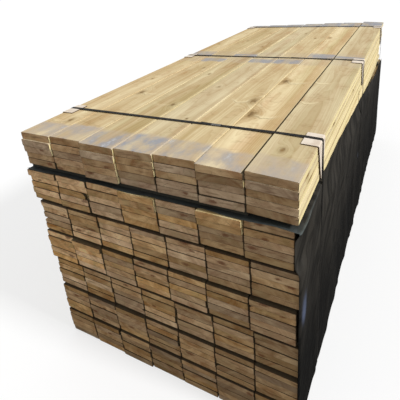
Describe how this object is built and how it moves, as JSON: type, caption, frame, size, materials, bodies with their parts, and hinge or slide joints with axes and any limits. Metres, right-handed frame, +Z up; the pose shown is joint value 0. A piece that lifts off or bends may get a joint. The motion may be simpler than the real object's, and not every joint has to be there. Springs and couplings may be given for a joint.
{
  "type": "strapped bundle of sawn pine boards",
  "caption": "Long strapped pile of sawn pine boards in packets on spacer slats, with a black sheet down one side and angle pieces under the straps.",
  "frame": {"origin": "on the ground, under the middle of the whole pile's box", "axes": "+Y along the boards, away from the end that faces the viewer; +X to the viewer's right; +Z up"},
  "size_m": [1.0808, 2.663, 1.0324],
  "materials": {
    "weathered_pine": "sawn, matt",
    "sawn_pine": "sawn, matt",
    "spacer_pine": "sawn, matt",
    "black_polythene": "soft sheen, wrinkled",
    "black_strap": "fine ribbed, satin",
    "strap_seal": "dull zinc, crimped",
    "protector_board": "pressed and laminated, matt"
  },
  "bodies": {
    "root": {"packet_1_course_1": "weathered_pine", "packet_1_course_2": "sawn_pine", "packet_1_course_3": "sawn_pine", "packet_1_course_4": "sawn_pine", "packet_1_course_5": "sawn_pine", "packet_2_course_1": "sawn_pine", "packet_2_course_2": "sawn_pine", "packet_2_course_3": "sawn_pine", "packet_2_course_4": "sawn_pine", "packet_2_course_5": "sawn_pine", "packet_3_course_1": "sawn_pine", "packet_3_course_2": "sawn_pine", "packet_3_course_3": "sawn_pine", "packet_3_course_4": "sawn_pine", "packet_3_course_5": "sawn_pine", "packet_4_course_1": "sawn_pine", "packet_4_course_2": "sawn_pine", "packet_4_course_3": "sawn_pine", "packet_4_course_4": "sawn_pine", "packet_4_course_5": "sawn_pine", "packet_5_course_1": "sawn_pine", "packet_5_course_2": "sawn_pine", "packet_5_course_3": "sawn_pine", "packet_5_course_4": "sawn_pine", "packet_5_course_5": "sawn_pine", "packet_6_course_1": "sawn_pine", "packet_6_course_2": "sawn_pine", "packet_6_course_3": "sawn_pine", "packet_6_course_4": "sawn_pine", "packet_6_course_5": "sawn_pine", "packet_7_course_1": "sawn_pine", "packet_7_course_2": "sawn_pine", "packet_7_course_3": "sawn_pine", "packet_7_course_4": "sawn_pine", "packet_7_course_5": "sawn_pine", "spacer_slats_1": "spacer_pine", "spacer_slats_2": "spacer_pine", "spacer_slats_3": "spacer_pine", "spacer_slats_4": "spacer_pine", "spacer_slats_5": "spacer_pine", "spacer_slats_6": "spacer_pine", "cover_sheet": "black_polythene", "strap_1": "black_strap", "strap_seal_1": "strap_seal", "corner_protector_left_1": "protector_board", "corner_protector_right_1": "protector_board", "strap_2": "black_strap", "strap_seal_2": "strap_seal", "corner_protector_left_2": "protector_board", "corner_protector_right_2": "protector_board", "strap_3": "black_strap", "strap_seal_3": "strap_seal", "corner_protector_left_3": "protector_board", "corner_protector_right_3": "protector_board"}
  },
  "joints": []
}
